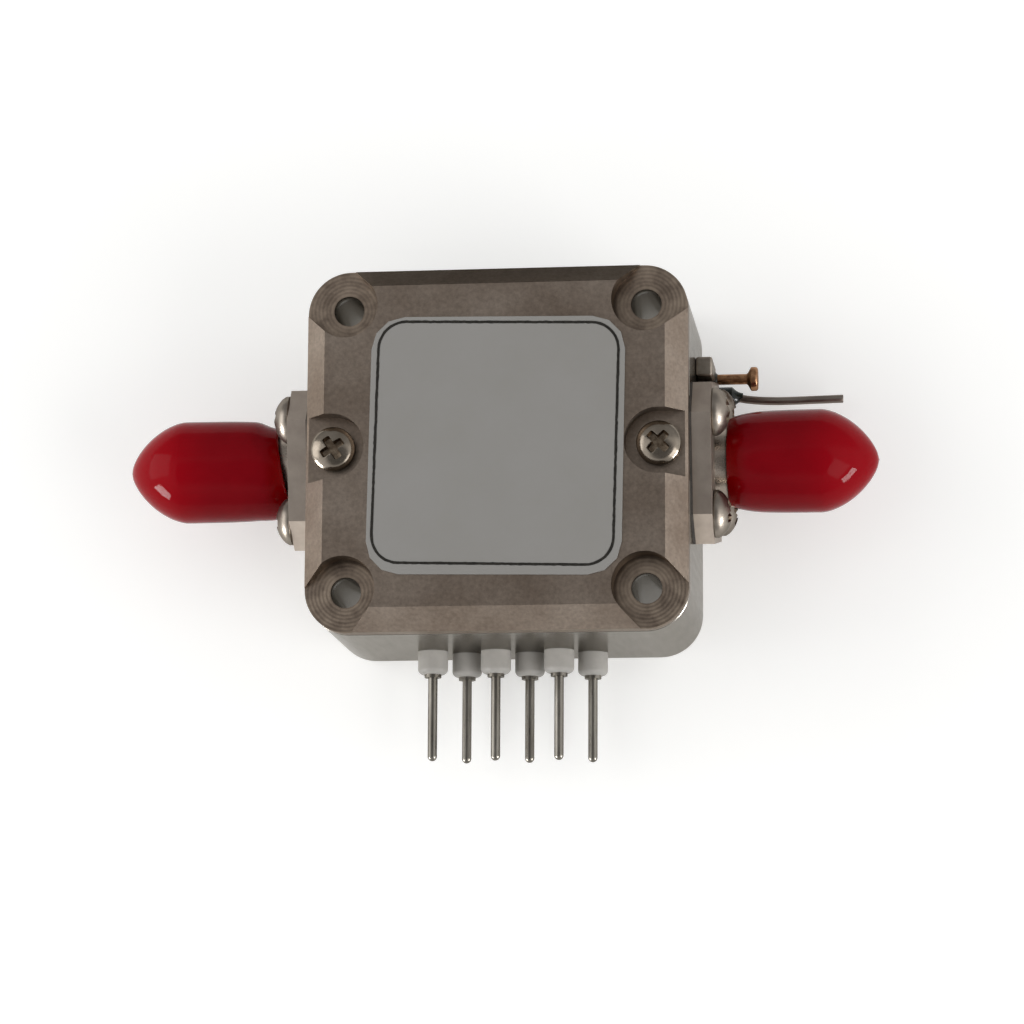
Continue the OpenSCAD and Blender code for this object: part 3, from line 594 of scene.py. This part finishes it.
def make_lid():
    """Milled lid: chamfered slab with a pocket at each corner and a scallop at each screw."""
    thickness = TOP_Z - SEAT_Z
    lid = add_block("milled_lid", (2 * HALF_X, 2 * HALF_Y, thickness),
                    (0, 0, SEAT_Z + thickness / 2), nickel_milled_lid)
    bpy.ops.object.mode_set(mode="EDIT")
    pick(lid, "EDGE", upright)
    bpy.ops.mesh.bevel(offset=CORNER_R, segments=16, affect="EDGES")
    pick(lid, "FACE", lambda f: f.normal.z > 0.9)
    bpy.ops.transform.translate(value=(0, 0, -CHAMFER_D))
    bpy.ops.mesh.inset(thickness=CHAMFER_W, depth=CHAMFER_D)
    pick(lid, "FACE", lambda f: f.normal.z < -0.9)
    bpy.ops.transform.translate(value=(0, 0, EDGE_BREAK))
    bpy.ops.mesh.inset(thickness=EDGE_BREAK, depth=EDGE_BREAK)
    bpy.ops.mesh.inset(thickness=REGISTER_INSET - EDGE_BREAK)
    bpy.ops.mesh.extrude_region_move(TRANSFORM_OT_translate={"value": (0, 0, -REGISTER_T)})
    bpy.ops.object.mode_set(mode="OBJECT")
    under = SEAT_Z - SLIVER
    for sx in (-1, 1):
        for sy in (-1, 1):
            x, y = sx * HOLE_X, sy * HOLE_Y
            carve(lid, add_rod("post_room", POST_R, (x, y, SEAT_Z - 2 * MM), (x, y, under),
                               nickel_milled_lid))
            carve(lid, slot_cutter("corner_pocket", POCKET_W, 2 * CORNER_R + POCKET_W,
                                   TOP_Z - POCKET_DEPTH, (x, y), math.atan2(sy, sx), nickel_ringed_pocket))
            carve(lid, add_rod("corner_hole", HOLE_R, (x, y, SEAT_Z - MM), (x, y, TOP_Z), nickel_walls))
        x = sx * LID_SCREW_X
        carve(lid, add_rod("boss_room", BOSS_R, (x, 0, SEAT_Z - 2 * MM), (x, 0, under), nickel_milled_lid))
        carve(lid, slot_cutter("screw_scallop", SCALLOP_W, 2 * (HALF_X - LID_SCREW_X),
                               TOP_Z - SCALLOP_DEPTH, (x, 0), 0 if sx > 0 else math.pi, nickel_milled_lid))
        carve(lid, add_rod("screw_hole", LID_SCREW_HOLE_R, (x, 0, SEAT_Z - MM), (x, 0, TOP_Z),
                           nickel_milled_lid))
    soften(lid, LID_BREAK)
    hand_over(lid, ["lid"])


def make_screw(name, size, plate):
    """Pan head screw with a cross recess, its seat at the origin and its head up."""
    head_d, head_h, dome_r, shank_d, shank_len = size
    head_r = head_d / 2
    spread = math.asin(head_r / dome_r)
    angles = [spread * (1 - i / DOME_STEPS) for i in range(DOME_STEPS + 1)]
    dome = [(dome_r * math.sin(a), head_h - dome_r + dome_r * math.cos(a)) for a in angles]
    shoulder = dome[0][1]
    shank = [(0, -shank_len), (shank_d / 2, -shank_len), (shank_d / 2, 0)]
    rim = [(head_r - HEAD_EDGE, 0), (head_r, HEAD_EDGE), (head_r, shoulder - HEAD_EDGE)]
    screw = turn(name, shank + rim + dome[1:], plate, steps=56)
    depth = RECESS_DEPTH * head_h
    for quarter in (0, 1):
        arm = add_block("recess_arm", (RECESS_LEN * head_d, RECESS_W * head_d, depth + MM),
                        (0, 0, head_h - depth + (depth + MM) / 2), oiled_recess)
        bpy.ops.object.mode_set(mode="EDIT")
        pick(arm, "EDGE", upright)
        bpy.ops.mesh.bevel(offset=RECESS_CORNER * head_d, segments=4, affect="EDGES")
        pick(arm, "FACE", lambda f: f.normal.z < -0.9)
        bpy.ops.transform.resize(value=RECESS_TAPER)
        bpy.ops.object.mode_set(mode="OBJECT")
        carve(screw, settle(arm, Matrix.Rotation(quarter * math.pi / 2, 4, "Z")))
    soften(screw, SCREW_BREAK, angle=35)
    return screw


def make_lid_screws():
    """The two screws that hold the lid, each stopped at its own turn."""
    model = make_screw("lid_screw", LID_SCREW, nickel_screw)
    for side, end, stop in zip((-1, 1), ("left", "right"), LID_SCREW_STOPS):
        seat = Matrix.Translation((side * LID_SCREW_X, 0, TOP_Z - SCALLOP_DEPTH))
        screw = copy_to(model, f"{end}_lid_screw", seat @ Matrix.Rotation(math.radians(stop), 4, "Z"))
        hand_over(screw, ["lid_screws"])
    bpy.data.objects.remove(model)


def make_flange_screws():
    """Four screws in each jack flange."""
    model = make_screw("flange_screw", FLANGE_SCREW, nickel_dull_screw)
    stops = iter(FLANGE_SCREW_STOPS)
    for side, end in ((-1, "left"), (1, "right")):
        seat = on_wall(side, FLANGE_BACK + FLANGE_T) @ Matrix.Rotation(side * FLANGE_TURN, 4, "Z")
        for number, (sx, sy) in enumerate(((-1, -1), (1, -1), (1, 1), (-1, 1)), 1):
            spot = Matrix.Translation((sx * FLANGE_PITCH / 2, sy * FLANGE_PITCH / 2, 0))
            stop = Matrix.Rotation(math.radians(next(stops)), 4, "Z")
            screw = copy_to(model, f"{end}_flange_screw_{number}", seat @ spot @ stop)
            hand_over(screw, [f"{end}_flange_screws"])
    bpy.data.objects.remove(model)


def rounded_plate(name, size, corner, segments, finish):
    """Flat plate on the XY plane, with rounded upright corners."""
    plate = add_block(name, size, (0, 0, size[2] / 2), finish)
    bpy.ops.object.mode_set(mode="EDIT")
    pick(plate, "EDGE", upright)
    bpy.ops.mesh.bevel(offset=corner, segments=segments, affect="EDGES")
    bpy.ops.object.mode_set(mode="OBJECT")
    return plate


def make_label():
    """Blank label, its corners cut by hand in three strokes, with a printed line round it."""
    place = Matrix.Translation((*LABEL_PLACE, TOP_Z)) @ Matrix.Rotation(LABEL_TURN, 4, "Z")
    label = rounded_plate("blank_label", LABEL_SIZE, LABEL_CORNER, 3, label_film)
    soften(settle(label, place), LABEL_BREAK)
    hand_over(label, ["label"])

    border = rounded_plate("label_border", (*BORDER_SIZE, INK_T), BORDER_CORNER, 10, label_ink)
    bpy.ops.object.mode_set(mode="EDIT")
    pick(border, "FACE", lambda f: f.normal.z < -0.9)
    bpy.ops.mesh.delete(type="FACE")
    pick(border, "FACE", lambda f: abs(f.normal.z) < 0.1)
    bpy.ops.mesh.delete(type="FACE")
    pick(border, "FACE", lambda f: True)
    bpy.ops.mesh.inset(thickness=BORDER_LINE)
    bpy.ops.mesh.delete(type="FACE")
    pick(border, "EDGE", lambda e: e.calc_length() > MM)
    bpy.ops.mesh.subdivide(number_cuts=60)
    bpy.ops.mesh.select_all(action="SELECT")
    bpy.ops.transform.vertex_random(offset=BORDER_WOBBLE, seed=5)
    bpy.ops.transform.resize(value=(1, 1, 0), center_override=(0, 0, INK_T))
    bpy.ops.mesh.extrude_region_move(TRANSFORM_OT_translate={"value": (0, 0, INK_T)})
    bpy.ops.mesh.select_all(action="SELECT")
    bpy.ops.mesh.normals_make_consistent(inside=False)
    bpy.ops.object.mode_set(mode="OBJECT")
    on_label = Matrix.Translation((*BORDER_SHIFT, LABEL_SIZE[2] - INK_T / 2))
    settle(border, place @ on_label @ Matrix.Rotation(BORDER_TURN, 4, "Z"))
    hand_over(border, ["label"])


def make_thread(name, start):
    """One ridge of the jack thread, wound up Z from a start height."""
    half = THREAD_PITCH * 0.42
    crest = THREAD_PITCH * 0.06
    sunk_r = THREAD_ROOT_R - 0.1 * MM
    ridge = turn(name, [(sunk_r, start - half), (THREAD_R, start - crest),
                        (THREAD_R, start + crest), (sunk_r, start + half)],
                 nickel_jack, steps=1, closed=True)
    bpy.ops.object.mode_set(mode="EDIT")
    pick(ridge, "VERT", lambda v: abs(v.co.y) > 1e-7 or v.co.x < 0)
    bpy.ops.mesh.delete(type="VERT")
    pick(ridge, "FACE", lambda f: True)
    bpy.ops.mesh.delete(type="ONLY_FACE")
    bpy.ops.object.mode_set(mode="OBJECT")
    apply_modifier(ridge, "SCREW", axis="Z", screw_offset=THREAD_PITCH, iterations=THREAD_TURNS,
                   steps=48, render_steps=48, use_merge_vertices=True)
    bpy.ops.object.mode_set(mode="EDIT")
    bpy.ops.mesh.select_all(action="SELECT")
    bpy.ops.mesh.remove_doubles(threshold=1e-7)
    bpy.ops.mesh.fill_holes(sides=6)
    bpy.ops.mesh.normals_make_consistent(inside=False)
    bpy.ops.object.mode_set(mode="OBJECT")
    return ridge


def make_jack(side, end):
    """Jack body: clipped flange, plain neck and threaded barrel with an open mouth."""
    flange = add_block(f"{end}_jack_body", (FLANGE, FLANGE, FLANGE_T), (0, 0, FLANGE_T / 2), nickel_flange_painted_lighter)
    bpy.ops.object.mode_set(mode="EDIT")
    pick(flange, "EDGE", upright)
    bpy.ops.mesh.bevel(offset=FLANGE_CLIP, segments=1, affect="EDGES")
    bpy.ops.object.mode_set(mode="OBJECT")
    for sx in (-1, 1):
        for sy in (-1, 1):
            x, y = sx * FLANGE_PITCH / 2, sy * FLANGE_PITCH / 2
            carve(flange, add_rod("flange_hole", FLANGE_HOLE_R, (x, y, -MM), (x, y, FLANGE_T + MM),
                                  nickel_flange_painted_lighter))
    relief = 0.2 * MM
    carve(flange, add_rod("flange_bore", BORE_R + relief, (0, 0, -MM), (0, 0, FLANGE_T + MM), nickel_flange_painted_lighter))
    tip = FLANGE_T + JACK_LEN
    thread_start = FLANGE_T + NECK_LEN
    taper = 0.5 * MM
    tip_r = THREAD_ROOT_R - relief
    lip = 0.12 * MM
    outside = [(BORE_R, SLIVER), (NECK_R, SLIVER), (NECK_R, thread_start),
               (THREAD_ROOT_R, thread_start + relief), (THREAD_ROOT_R, tip - taper),
               (tip_r, tip - lip), (tip_r - lip, tip)]
    mouth = [(MOUTH_R + lip, tip), (MOUTH_R, tip - lip), (MOUTH_R, tip - MOUTH_DEPTH),
             (BORE_R, tip - MOUTH_DEPTH)]
    barrel = turn("barrel", outside + mouth, nickel_jack, closed=True)
    weld(barrel, make_thread("thread", thread_start + THREAD_LEAD))
    weld(flange, barrel)
    settle(flange, Matrix.Rotation(side * FLANGE_TURN, 4, "Z"))
    settle(flange, on_wall(side, FLANGE_BACK))
    soften(flange, FLANGE_BREAK, angle=40)
    hand_over(flange, [f"{end}_jack"])


def cap_profile(length):
    """Half section of a dust cap, from the tip of its bore round the rim to its closed tip."""
    rim_round = 0.2 * MM
    bore_steps, barrel_steps, nose_steps = 6, 24, 28
    shoulder = length - NOSE_LEN
    end_z = length - CAP_TIP_WALL
    inner = [(0, end_z), (CAP_BORE_R / 4, end_z)]
    inner += [(CAP_BORE_R, CAP_BORE_LEN * (1 - i / bore_steps)) for i in range(bore_steps)]
    inner += [(CAP_BORE_R, rim_round / 2), (CAP_BORE_R + rim_round * 0.3, 0)]
    lip = [(CAP_RIM_R - rim_round, 0), (CAP_RIM_R - rim_round * 0.3, rim_round * 0.3)]
    heights = [rim_round + (shoulder - rim_round) * i / barrel_steps for i in range(barrel_steps)]
    barrel = [(CAP_R - (CAP_R - CAP_RIM_R) * math.exp((rim_round - z) / SWELL_LEN), z) for z in heights]
    shares = [i / nose_steps for i in range(nose_steps + 1)]
    nose = [(CAP_R * (1 - s ** NOSE_SHOULDER) ** NOSE_POINT, shoulder + NOSE_LEN * s) for s in shares]
    return inner + lip + barrel + nose


def make_cap(side, end, tilt, length, shift):
    """Dust cap of dipped vinyl, soft enough to sit a little askew on its jack."""
    low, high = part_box(f"{end}_cap")
    mouth = high.x if side < 0 else low.x
    cap = turn(f"{end}_dust_cap", cap_profile(length), red_vinyl, steps=96)
    bpy.ops.object.mode_set(mode="EDIT")
    pick(cap, "VERT", lambda v: v.co.z < RIM_LEN / 2)
    bpy.ops.transform.rotate(value=tilt, orient_axis="Y", center_override=(0, 0, 0),
                             use_proportional_edit=True, proportional_edit_falloff="SMOOTH",
                             proportional_size=MOUTH_GIVE)
    bpy.ops.object.mode_set(mode="OBJECT")
    settle(cap, on_wall(side, abs(mouth) + shift))
    activate(cap)
    bpy.ops.object.shade_smooth_by_angle(angle=math.radians(50))
    hand_over(cap, [f"{end}_cap"], f"{end}_cap")


def make_ground_terminal():
    """Ground block with its turret terminal and the flux left where it was soldered."""
    size = BLOCK_HIGH - BLOCK_LOW
    block = add_block("terminal_block", size, (BLOCK_LOW + BLOCK_HIGH) / 2, nickel_block)
    soften(block, BLOCK_BREAK, segments=3)
    hand_over(block, ["ground_block"])

    middle = (TURRET_LOW + TURRET_HIGH) / 2 - Vector((0, TURRET_SHIFT, 0))
    along_x = Matrix.Rotation(math.pi / 2, 4, "Y")
    head_r = (TURRET_HIGH.z - TURRET_LOW.z) / 2
    length = TURRET_HIGH.x - TURRET_LOW.x
    waist = length - TURRET_HEAD_LEN
    shank = [(0, 0), (TURRET_SHANK_R, 0), (TURRET_SHANK_R, waist),
             (TURRET_SHANK_R + 0.1 * MM, waist + 0.1 * MM)]
    head = [(head_r - 0.06 * MM, waist + 0.32 * MM), (head_r, waist + 0.38 * MM),
            (head_r, length - 0.17 * MM), (head_r - 0.04 * MM, length - 0.08 * MM),
            (head_r - 0.15 * MM, length), (0, length)]
    turret = turn("turret_terminal", shank + head, tarnished_brass, steps=40)
    settle(turret, Matrix.Translation((TURRET_LOW.x, middle.y, middle.z)) @ along_x)
    soften(turret, TURRET_BREAK, angle=40)
    hand_over(turret, ["ground_turret"])

    flux = turn("turret_flux", [
        (0, -0.2 * MM), (0.62 * MM, -0.2 * MM), (0.64 * MM, 0.01 * MM), (0.56 * MM, 0.07 * MM),
        (0.48 * MM, 0.12 * MM), (0.44 * MM, 0.2 * MM), (0, 0.24 * MM)], flux_residue, steps=28)
    bpy.ops.object.mode_set(mode="EDIT")
    bpy.ops.mesh.select_all(action="SELECT")
    bpy.ops.transform.vertex_random(offset=FLUX_WOBBLE, seed=2)
    bpy.ops.object.mode_set(mode="OBJECT")
    settle(flux, Matrix.Translation((BLOCK_HIGH.x, middle.y, middle.z)) @ along_x)
    activate(flux)
    bpy.ops.object.shade_smooth_by_angle(angle=math.radians(60))
    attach(flux, "module")


def make_bead():
    """Sealing bead of the supply lead, drawn up the wire by its own surface tension."""
    middle = (BEAD_LOW + BEAD_HIGH) / 2
    radius = (BEAD_HIGH.z - BEAD_LOW.z) / 2
    length = BEAD_HIGH.x - BEAD_LOW.x
    foot = length - BEAD_CONE
    shares = [i / 8 for i in range(9)]
    climb = [(BEAD_WIRE_R + (radius - BEAD_WIRE_R) * (1 - s) ** 1.9, foot + BEAD_CONE * s) for s in shares]
    bead = turn("lead_bead", [(BEAD_WIRE_R, 0), (radius, 0), (radius, foot - 0.12 * MM)] + climb,
                sealing_epoxy, steps=40, closed=True)
    settle(bead, Matrix.Translation((BEAD_LOW.x, middle.y, middle.z)) @ Matrix.Rotation(math.pi / 2, 4, "Y"))
    activate(bead)
    bpy.ops.object.shade_smooth_by_angle(angle=math.radians(45))
    hand_over(bead, ["supply_bead"])


def make_lead():
    """Supply lead, bent a little where it leaves its bead."""
    low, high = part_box("supply_lead")
    middle = (low + high) / 2
    bpy.ops.object.select_all(action="DESELECT")
    bpy.ops.mesh.primitive_circle_add(
        vertices=24, radius=(high.z - low.z) / 2, fill_type="NGON",
        location=(low.x, middle.y, middle.z), rotation=(0, math.pi / 2, 0))
    lead = bpy.context.object
    lead.name = "bent_lead"
    bpy.ops.object.transform_apply(location=True, rotation=True, scale=True)
    bpy.ops.object.mode_set(mode="EDIT")
    bpy.ops.mesh.select_all(action="SELECT")
    bare = BEAD_HIGH.x - 0.6 * MM
    bpy.ops.mesh.extrude_region_move(TRANSFORM_OT_translate={"value": (bare - low.x, 0, 0)})
    for i in range(LEAD_STEPS):
        sag = LEAD_SAG * math.exp(-i / 3)
        rise = LEAD_RISE * (i > 6)
        bpy.ops.mesh.extrude_region_move(
            TRANSFORM_OT_translate={"value": ((high.x - bare) / LEAD_STEPS, rise - sag, 0)})
    bpy.ops.mesh.select_all(action="SELECT")
    bpy.ops.mesh.normals_make_consistent(inside=False)
    bpy.ops.object.mode_set(mode="OBJECT")
    lead.data.materials.append(browned_lead)
    soften(lead, LEAD_BREAK, angle=50)
    hand_over(lead, ["supply_lead"])


def paint_solids():
    """Gives each solid that stays in view its finish."""
    finishes = {
        "housing": nickel_walls,
        "left_flange_pad": fibre_pad, "right_flange_pad": fibre_pad,
        "left_dielectric": ptfe_turned, "right_dielectric": ptfe_turned,
        "left_contact": gold_contact, "right_contact": gold_contact,
        "control_risers": tinned_pin, "supply_riser": tinned_pin,
        "circuit_board": solder_mask, "board_screws": nickel_screw,
        "attenuator_chip": moulding_compound, "regulator": moulding_compound,
        "blocking_capacitors": fired_ceramic, "bypass_capacitors": fired_ceramic,
    }
    for number in range(1, 7):
        finishes[f"pin_insulator_{number}"] = ptfe_turned
        finishes[f"control_pin_{number}"] = tinned_pin
    for name, finish in finishes.items():
        for material_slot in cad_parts[name].material_slots:
            material_slot.material = finish


def make_floor():
    """Pale floor that shows as white to the camera and to metal, and keeps the shadow."""
    bpy.ops.object.select_all(action="DESELECT")
    bpy.ops.mesh.primitive_plane_add(size=FLOOR_SIZE, location=(0, 0, -SLIVER))
    floor = bpy.context.object
    floor.name = "studio_floor"
    finish = bpy.data.materials.new("painted_pale_floor")
    finish.use_nodes = True
    tree = finish.node_tree
    shader = tree.nodes["Principled BSDF"]
    shader.inputs["Base Color"].default_value = linear("#E6E6E4")
    shader.inputs["Roughness"].default_value = 0.9
    shader.inputs["Specular IOR Level"].default_value = 0
    path = add_node(tree, "ShaderNodeLightPath")
    mirrored = add_node(tree, "ShaderNodeMath", {"operation": "MAXIMUM"},
                        links={0: path.outputs["Is Glossy Ray"], 1: path.outputs["Is Transmission Ray"]})
    seen = add_node(tree, "ShaderNodeMath", {"operation": "MAXIMUM"},
                    links={0: path.outputs["Is Camera Ray"], 1: mirrored.outputs[0]})
    lift = add_node(tree, "ShaderNodeMath", {"operation": "MULTIPLY"}, {1: FLOOR_LIFT}, {0: seen.outputs[0]})
    shader.inputs["Emission Color"].default_value = linear("#FFFFFF")
    tree.links.new(lift.outputs[0], shader.inputs["Emission Strength"])
    floor.data.materials.append(finish)


def stand_flag():
    """Dark card behind the lid, seen only in reflections, that darkens the rear chamfer."""
    bpy.ops.object.select_all(action="DESELECT")
    bpy.ops.mesh.primitive_plane_add(size=1, location=FLAG_PLACE, rotation=(math.pi / 2, 0, 0))
    card = bpy.context.object
    card.name = "rear_flag"
    card.scale = FLAG_SIZE
    finish = bpy.data.materials.new("matt_grey_card")
    finish.use_nodes = True
    shader = finish.node_tree.nodes["Principled BSDF"]
    shader.inputs["Base Color"].default_value = linear("#5A554F")
    shader.inputs["Roughness"].default_value = 0.9
    card.data.materials.append(finish)
    card.visible_camera = False
    card.visible_diffuse = False
    card.visible_shadow = False
    card.visible_transmission = False


def light_studio():
    """Soft light: an even sky that dims round the camera and to the rear, two soft boxes and two windows."""
    world = bpy.data.worlds.new("studio_air")
    world.use_nodes = True
    tree = world.node_tree
    background = tree.nodes["Background"]
    smooth = {"interpolation_type": "SMOOTHSTEP"}
    times = {"operation": "MULTIPLY"}
    direction = add_node(tree, "ShaderNodeTexCoord").outputs["Generated"]
    axes = add_node(tree, "ShaderNodeSeparateXYZ", links={0: direction})
    # Brightest halfway up, with a dim patch round the camera that the lid reflects
    slope = add_node(tree, "ShaderNodeMapRange", smooth,
                     {"From Min": 0.25, "From Max": 0.6, "To Min": 1.0, "To Max": 1.3},
                     {"Value": axes.outputs[2]})
    beside_camera = add_node(tree, "ShaderNodeVectorMath", {"operation": "DOT_PRODUCT"},
                             {1: TOWARDS_CAMERA}, {0: direction})
    patch = add_node(tree, "ShaderNodeMapRange", smooth,
                     {"From Min": 0.78, "From Max": 0.91, "To Min": 0, "To Max": 0.95},
                     {"Value": beside_camera.outputs["Value"]})
    overhead = add_node(tree, "ShaderNodeMath", {"operation": "SUBTRACT"},
                        links={0: slope.outputs[0], 1: patch.outputs[0]})
    # Brighter to both sides, a little dimmer at the front and dim at the rear
    aside = add_node(tree, "ShaderNodeMath", times, links={0: axes.outputs[0], 1: axes.outputs[0]})
    sides = add_node(tree, "ShaderNodeMapRange", values={"To Min": 0.68, "To Max": 1.28},
                     links={"Value": aside.outputs[0]})
    front = add_node(tree, "ShaderNodeMapRange", smooth,
                     {"From Min": -0.95, "From Max": -0.6, "To Min": 0.7, "To Max": 1.0},
                     {"Value": axes.outputs[1]})
    rear = add_node(tree, "ShaderNodeMapRange", smooth,
                    {"From Min": 0.22, "From Max": 0.5, "To Min": 1.0, "To Max": 0.5},
                    {"Value": axes.outputs[1]})
    ends = add_node(tree, "ShaderNodeMath", times, links={0: front.outputs[0], 1: rear.outputs[0]})
    around = add_node(tree, "ShaderNodeMath", times, links={0: ends.outputs[0], 1: sides.outputs[0]})
    shaped = add_node(tree, "ShaderNodeMath", times, links={0: overhead.outputs[0], 1: around.outputs[0]})
    path = add_node(tree, "ShaderNodeLightPath")
    level = add_node(tree, "ShaderNodeMix", {"data_type": "FLOAT"}, {3: 1.0},
                     {0: path.outputs["Is Camera Ray"], 2: shaped.outputs[0]})
    tree.links.new(level.outputs[0], background.inputs["Strength"])
    background.inputs["Color"].default_value = linear("#FFFFFF")
    bpy.context.scene.world = world
    for name, place, width, height, power in LAMPS:
        lamp = bpy.data.lights.new(name, "AREA")
        lamp.shape = "RECTANGLE"
        lamp.size = width
        lamp.size_y = height
        lamp.energy = power
        box = bpy.data.objects.new(name, lamp)
        box.location = place
        box.rotation_euler = (LAMP_AIM - Vector(place)).to_track_quat("-Z", "Y").to_euler()
        box.visible_diffuse = not name.endswith("window")
        bpy.context.scene.collection.objects.link(box)


def set_camera():
    """Camera above the lid, a little to the front and right, as the photograph was taken."""
    lens = bpy.data.cameras.new("view_from_above")
    lens.lens = CAMERA_LENS
    lens.sensor_width = CAMERA_SENSOR
    lens.clip_start = 0.01
    camera = bpy.data.objects.new("view_from_above", lens)
    camera.location = CAMERA_PLACE
    camera.rotation_euler = CAMERA_TURN
    bpy.context.scene.collection.objects.link(camera)
    bpy.context.scene.camera = camera
    bpy.context.scene.view_settings.view_transform = "Standard"


make_lid()
make_lid_screws()
make_flange_screws()
make_label()
make_jack(-1, "left")
make_jack(1, "right")
make_cap(-1, "left", *LEFT_CAP)
make_cap(1, "right", *RIGHT_CAP)
make_ground_terminal()
make_bead()
make_lead()
paint_solids()
make_floor()
stand_flag()
light_studio()
set_camera()
